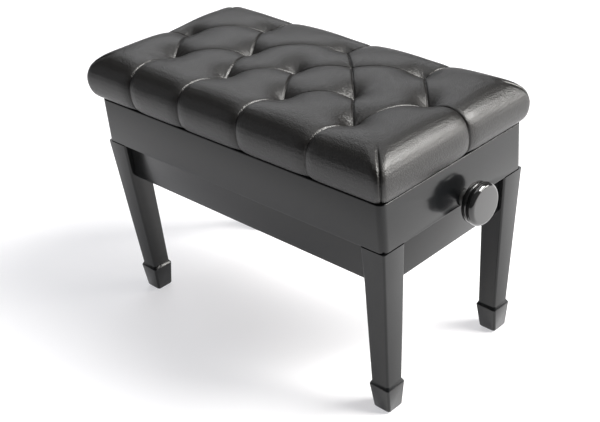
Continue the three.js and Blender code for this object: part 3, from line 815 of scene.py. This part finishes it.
def make_rail(place, material):
    node = "rail_" + place
    piece = fair_copy(node)
    piece.name = "eased_" + node
    ease_edges(piece, RAIL_EASING, 2)
    smooth(piece)
    finish_piece(piece, material, "lower_frame", "black_lacquer", node)


# ---------------------------------------------------------------- knobs and buttons

def make_knob(place, direction, material):
    """Band at the back, a shallow groove, a rounded shoulder and a plain flat face."""
    node = "knob_" + place
    low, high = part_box(node)
    radius = (high.z - low.z) / 2
    thickness = high.x - low.x
    back = low.x if direction > 0 else high.x
    centre = (back, (low.y + high.y) / 2, (low.z + high.z) / 2)
    band = radius - 1.5 * MM
    face = radius - 6.5 * MM
    profile = [
        (0.0, band - 3.0 * MM), (0.3 * MM, band - 2.0 * MM), (1.0 * MM, band - 0.8 * MM),
        (2.2 * MM, band), (8.6 * MM, band), (9.2 * MM, band - 0.5 * MM),
        (9.8 * MM, band - 1.6 * MM), (10.8 * MM, band - 1.6 * MM),
        (11.4 * MM, band - 0.4 * MM), (12.2 * MM, radius - 0.3 * MM), (13.2 * MM, radius),
    ]
    shoulder = 15 * MM
    steps = 12
    for i in range(steps + 1):
        turn = (i / steps) * (math.pi / 2)
        profile.append((shoulder + (thickness - shoulder) * math.sin(turn),
                        face + (radius - face) * math.cos(turn)))
    profile.append((thickness, 2.0 * MM))
    piece = turned("polished_" + node, profile, centre, direction, 96)
    smooth(piece, 50)
    finish_piece(piece, material, "spindle", "knob_lacquer", node)


def make_buttons(material):
    """Small leather-covered buttons, modelled once and copied to the foot of each tuft."""
    deselect_all()
    bpy.ops.mesh.primitive_uv_sphere_add(segments=24, ring_count=12, radius=BUTTON_RADIUS)
    button = settle(new_piece("button_pattern"))
    button.scale = (1, 1, BUTTON_FLATNESS)
    settle(button)
    smooth(button, 60)
    for name, (x, y, depth) in TUFTS.items():
        copy = button.copy()
        copy.data = button.data.copy()
        copy.name = copy.data.name = "tuft_button_" + name
        bpy.context.scene.collection.objects.link(copy)
        foot = cover_low.z + CROWN - BUTTON_SUNK - depth * (TUFT_DEPTH + SWELL_DEPTH)
        foot -= REAR_DROOP * float(smooth_step(y * MM, REAR_START, HALF_Y))
        copy.location = (x * MM, y * MM, foot - BUTTON_BED)
        settle(copy)
        finish_piece(copy, material, "seat", "black_leather")
    bpy.data.objects.remove(button)


# ---------------------------------------------------------------- putting it together

add_camera()
add_world()
add_area_light("key", (3.3, 2.3, 4.1), (0.1, 0.0, 0.3), (3.0, 3.0), 820.0, (1.0, 0.985, 0.955))
add_area_light("rim", (2.8, 2.3, 1.0), (0.3, 0.0, 0.4), (2.2, 0.45), 75.0, (1.0, 0.98, 0.95))
add_area_light("top", (-0.2, 0.3, 3.0), (0.0, 0.0, 0.0), (2.4, 2.4), 30.0, (1.0, 1.0, 1.0))
add_area_light("back", (-1.5, 1.5, 1.75), (0.0, 0.0, 0.4), (2.0, 1.3), 14.0, (0.97, 0.98, 1.0))
add_area_light("fill", (-1.7, -1.5, 1.3), (-0.5, -0.5, 0.0), (1.2, 1.2), 2.5, (0.98, 0.98, 1.0))

leather = leather_material()
lacquer = lacquer_material()
knob_lacquer = knob_material()
finish_of_slot = {
    "black_lacquer": lacquer, "black_leather": leather, "knob_lacquer": knob_lacquer,
    "zinc_steel": zinc_material(), "black_steel": powder_coat_material(),
    "inner_wood": bare_wood_material(), "glide_plastic": nylon_material(), "foam": foam_material(),
}
for subpart in frame["record"]["subparts"]:
    node_mesh = frame["nodes"][subpart["node"]].data
    node_mesh.materials.clear()
    node_mesh.materials.append(finish_of_slot[subpart["material_slot"]])
frame["nodes"]["spindle"].data.materials[0] = blackened_steel_material()

cushion = make_cushion()
close_cushion_base(cushion)
smooth(cushion, 180)
finish_piece(cushion, leather, "seat", "black_leather", "cushion_cover", "foam_pad")
make_buttons(leather)

make_skirt(lacquer)
for corner, x_side, y_side in (
        ("front_left", -1, -1), ("front_right", 1, -1), ("rear_left", -1, 1), ("rear_right", 1, 1)):
    make_leg(corner, x_side, y_side, lacquer)
for rail in ("front", "rear", "left", "right"):
    make_rail(rail, lacquer)
make_knob("left", -1, knob_lacquer)
make_knob("right", 1, knob_lacquer)

deselect_all()
bpy.ops.mesh.primitive_plane_add(size=14, location=(0, 0, 0))
floor = new_piece("floor")
floor.data.materials.append(floor_material())
